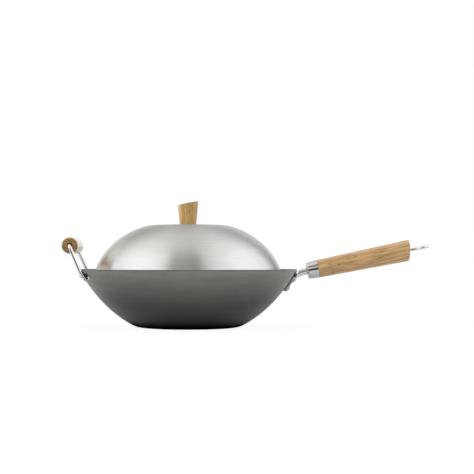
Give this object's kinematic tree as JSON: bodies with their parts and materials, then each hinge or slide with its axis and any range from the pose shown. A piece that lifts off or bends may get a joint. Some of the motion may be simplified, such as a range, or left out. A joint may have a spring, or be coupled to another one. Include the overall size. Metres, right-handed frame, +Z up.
{
  "type": "carbon steel wok",
  "caption": "Flat-based dark steel wok with a domed steel lid, a long bamboo handle with a hanging loop, and a turning bamboo helper grip on a wire bail.",
  "frame": {"origin": "centre of the flat base's underside", "axes": "+Z up out of the bowl, +X along the long handle, the helper handle at -X"},
  "size_m": [0.5962, 0.3559, 0.2058],
  "materials": {
    "carbon_steel": "dark grey satin carbon steel",
    "stainless": "concentric brushed stainless steel",
    "chrome": "polished chrome plate",
    "ferrule_steel": "polished steel",
    "bamboo": "laminated bamboo, satin oil",
    "zinc_steel": "zinc plated steel",
    "brass": "machined brass"
  },
  "bodies": {
    "wok": {"wok_bowl": "carbon_steel", "handle_bracket": "chrome", "handle_bracket_rivets": "chrome", "handle_neck": "chrome", "handle_ferrule": "ferrule_steel", "handle_grip": "bamboo", "handle_tie_rod": "zinc_steel", "hanging_loop": "chrome", "helper_bracket": "chrome", "helper_bracket_rivets": "chrome", "helper_wire": "chrome"},
    "helper_roller": {"helper_grip": "bamboo"},
    "lid": {"lid_dome": "stainless", "lid_knob": "bamboo", "lid_knob_insert": "brass", "lid_knob_washer": "zinc_steel", "lid_knob_screw": "zinc_steel"}
  },
  "joints": [
    {"name": "lid_lift", "type": "slide", "parent": "wok", "child": "lid", "axis": [0, 0, 1], "range_m": [0, 0.3]},
    {"name": "helper_grip_spin", "type": "hinge", "parent": "wok", "child": "helper_roller", "pos_m": [-0.189, 0, 0.1326], "axis": [0, 1, 0], "continuous": true}
  ]
}
